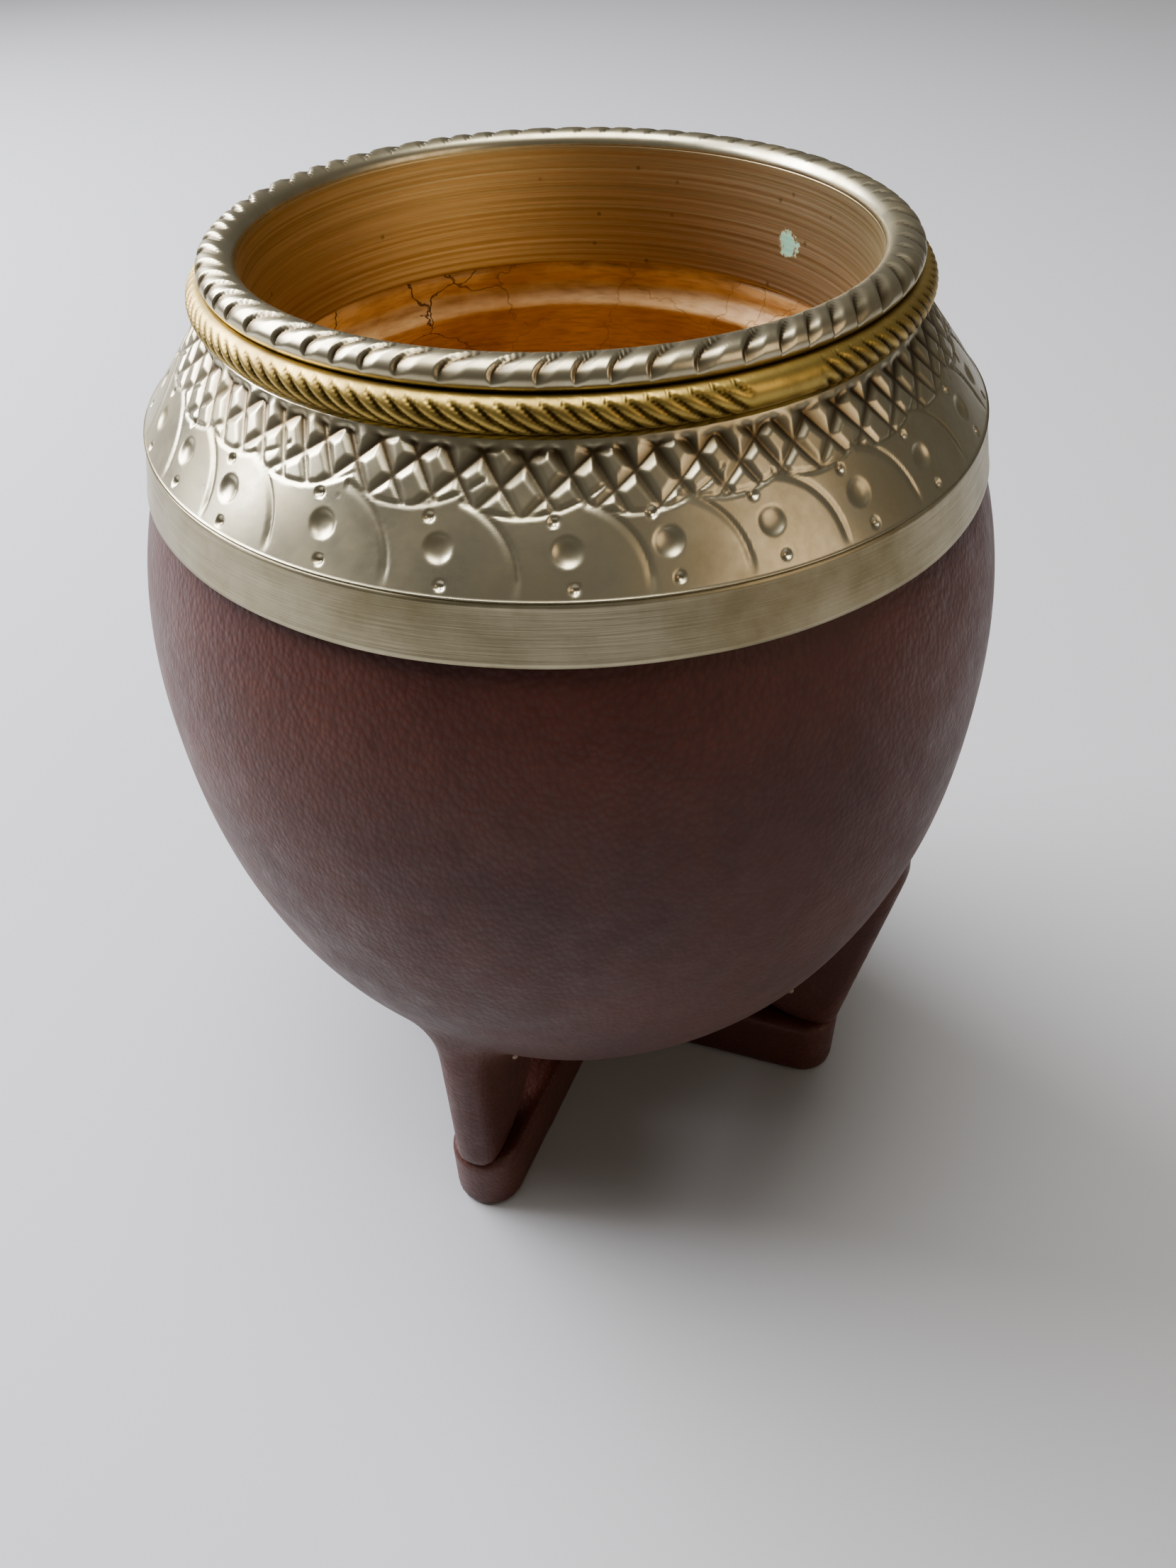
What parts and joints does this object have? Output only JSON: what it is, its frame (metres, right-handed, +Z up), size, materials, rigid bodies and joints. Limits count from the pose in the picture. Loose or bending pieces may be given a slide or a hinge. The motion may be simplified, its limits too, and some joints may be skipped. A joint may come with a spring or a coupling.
{
  "type": "mate gourd cup",
  "caption": "Leather-covered gourd cup on a crossed base with short legs, with an engraved nickel-silver collar, a rolled lip, a brass rope ring and an open mouth.",
  "frame": {"origin": "on the ground, under the middle of the cup", "axes": "+Z up along the cup's axis, -Y towards the front leg and +X towards the right one"},
  "size_m": [0.1, 0.1, 0.1256],
  "materials": {
    "gourd": "dry natural gourd shell, satin",
    "leather": "reddish-brown smooth leather, satin",
    "nickel_silver": "hand-engraved nickel silver, polished",
    "nickel_silver_brushed": "brushed nickel silver, satin",
    "nickel_silver_turned": "turned nickel silver with fine rings, satin",
    "brass": "aged brass"
  },
  "bodies": {
    "root": {"gourd": "gourd", "leather_cover": "leather", "band": "nickel_silver_brushed", "shoulder": "nickel_silver", "sleeve": "nickel_silver_turned", "lip": "nickel_silver", "rope_ring": "brass", "base": "leather", "leg_1": "leather", "leg_2": "leather", "leg_3": "leather", "leg_4": "leather"}
  },
  "joints": []
}
